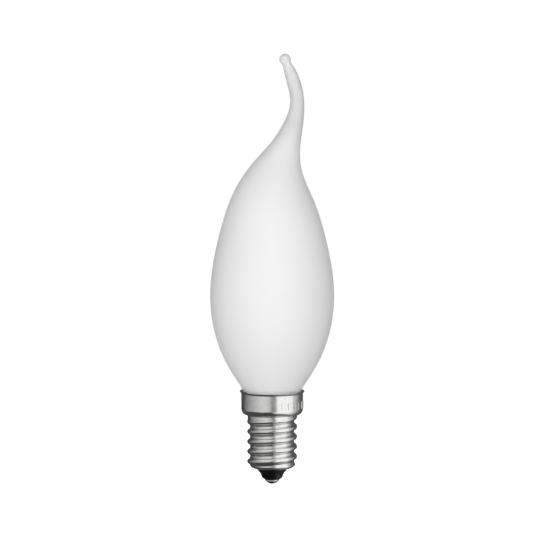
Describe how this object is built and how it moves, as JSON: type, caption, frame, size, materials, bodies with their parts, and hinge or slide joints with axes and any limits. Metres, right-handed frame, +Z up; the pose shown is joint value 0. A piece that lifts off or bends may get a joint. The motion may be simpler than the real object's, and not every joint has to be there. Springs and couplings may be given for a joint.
{
  "type": "led light bulb",
  "caption": "Frosted egg-shaped glass bulb drawn out into a bent tip with a bead, cemented into a small Edison screw cap with a skirt.",
  "frame": {"origin": "lowest point of the centre contact, on the cap's axis", "axes": "+Z up the cap's axis towards the bulb's tip; the bent tip leans towards +X in the XZ plane; -Z points into the lampholder"},
  "size_m": [0.035, 0.035, 0.122],
  "materials": {
    "frosted_glass": "satin frosted",
    "plated_cap": "nickel plated, drawn",
    "black_glass": "gloss, opaque",
    "contact_plate": "tinned",
    "solder": "dull, as solidified",
    "cement": "cured cement",
    "circuit_board": "solder mask",
    "moulded_epoxy": "moulded",
    "capacitor_sleeve": "shrunk sleeve",
    "ceramic": "fired",
    "resistor_lacquer": "lacquered",
    "insulating_sleeve": "extruded",
    "tinned_wire": "tinned"
  },
  "bodies": {
    "root": {"glass_bulb": "frosted_glass", "screw_cap": "plated_cap", "insulator": "black_glass", "contact_plate": "contact_plate", "contact_solder": "solder", "cap_cement": "cement", "driver_board": "circuit_board", "bridge_rectifier": "moulded_epoxy", "driver_chip": "moulded_epoxy", "smoothing_capacitor": "capacitor_sleeve", "ceramic_capacitor": "ceramic", "fusible_resistor": "resistor_lacquer", "resistor_sleeve": "insulating_sleeve", "lead_wire_left": "tinned_wire", "lead_wire_right": "tinned_wire", "shell_wire": "tinned_wire"}
  },
  "joints": []
}
